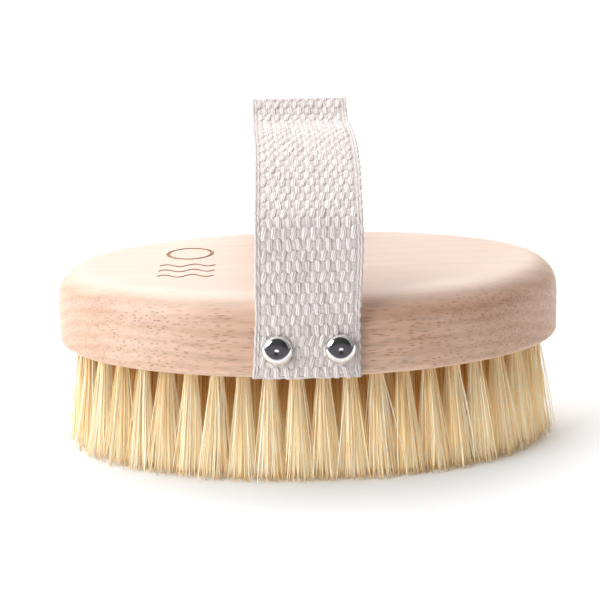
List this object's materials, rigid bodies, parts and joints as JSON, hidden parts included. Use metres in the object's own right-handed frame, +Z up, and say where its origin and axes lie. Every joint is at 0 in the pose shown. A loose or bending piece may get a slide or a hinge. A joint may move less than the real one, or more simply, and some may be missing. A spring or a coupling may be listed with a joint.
{
  "type": "body dry brush",
  "caption": "Oval wooden body brush with plant-fibre bristle tufts set in its underside and a cotton hand strap nailed across its back.",
  "frame": {"origin": "on the surface that the bristle tips stand on, under the middle of the block", "axes": "+X along the block, -Y the front side, +Z up through the block to the hand strap"},
  "size_m": [0.135, 0.0874, 0.0865],
  "materials": {
    "beech": "bare, finely sanded beech",
    "cotton_webbing": "undyed woven cotton",
    "plant_fibre": "pale yellow plant fibre",
    "chromed_steel": "polished"
  },
  "bodies": {
    "brush_body": {"wood_block": "beech", "strap_front_tab": "cotton_webbing", "strap_back_tab": "cotton_webbing", "nail_front_left": "chromed_steel", "nail_front_right": "chromed_steel", "nail_back_left": "chromed_steel", "nail_back_right": "chromed_steel", "inner_tufts_front_outer": "plant_fibre", "inner_tufts_front": "plant_fibre", "inner_tufts_centre": "plant_fibre", "inner_tufts_back": "plant_fibre", "inner_tufts_back_outer": "plant_fibre", "outer_tuft_01": "plant_fibre", "outer_tuft_02": "plant_fibre", "outer_tuft_03": "plant_fibre", "outer_tuft_04": "plant_fibre", "outer_tuft_05": "plant_fibre", "outer_tuft_06": "plant_fibre", "outer_tuft_07": "plant_fibre", "outer_tuft_08": "plant_fibre", "outer_tuft_09": "plant_fibre", "outer_tuft_10": "plant_fibre", "outer_tuft_11": "plant_fibre", "outer_tuft_12": "plant_fibre", "outer_tuft_13": "plant_fibre", "outer_tuft_14": "plant_fibre", "outer_tuft_15": "plant_fibre", "outer_tuft_16": "plant_fibre", "outer_tuft_17": "plant_fibre", "outer_tuft_18": "plant_fibre", "outer_tuft_19": "plant_fibre", "outer_tuft_20": "plant_fibre", "outer_tuft_21": "plant_fibre", "outer_tuft_22": "plant_fibre", "outer_tuft_23": "plant_fibre", "outer_tuft_24": "plant_fibre", "outer_tuft_25": "plant_fibre", "outer_tuft_26": "plant_fibre", "outer_tuft_27": "plant_fibre", "outer_tuft_28": "plant_fibre", "outer_tuft_29": "plant_fibre", "outer_tuft_30": "plant_fibre", "outer_tuft_31": "plant_fibre", "outer_tuft_32": "plant_fibre", "outer_tuft_33": "plant_fibre", "outer_tuft_34": "plant_fibre", "outer_tuft_35": "plant_fibre", "outer_tuft_36": "plant_fibre", "outer_tuft_37": "plant_fibre", "outer_tuft_38": "plant_fibre", "outer_tuft_39": "plant_fibre", "outer_tuft_40": "plant_fibre", "outer_tuft_41": "plant_fibre", "outer_tuft_42": "plant_fibre", "outer_tuft_43": "plant_fibre", "outer_tuft_44": "plant_fibre"},
    "strap_front_leg": {"strap_front_leg": "cotton_webbing"},
    "strap_loop": {"strap_loop": "cotton_webbing"},
    "strap_back_leg": {"strap_back_leg": "cotton_webbing"}
  },
  "joints": [
    {"name": "strap_sway", "type": "hinge", "parent": "brush_body", "child": "strap_front_leg", "pos_m": [0, -0.04095, 0.04425], "axis": [1, 0, 0], "range_deg": [-40, 40], "stiffness_Nm_per_rad": 0.02},
    {"name": "strap_front_bend", "type": "hinge", "parent": "strap_front_leg", "child": "strap_loop", "pos_m": [0, -0.04095, 0.06225], "axis": [1, 0, 0], "range_deg": [-40, 40]},
    {"name": "strap_back_sway", "type": "hinge", "parent": "brush_body", "child": "strap_back_leg", "pos_m": [0, 0.04095, 0.04425], "axis": [1, 0, 0], "range_deg": [-40, 40]}
  ],
  "couplings": [
    {"joint": "strap_front_bend", "follows": "strap_sway", "ratio": -1},
    {"joint": "strap_back_sway", "follows": "strap_sway", "ratio": 1}
  ]
}
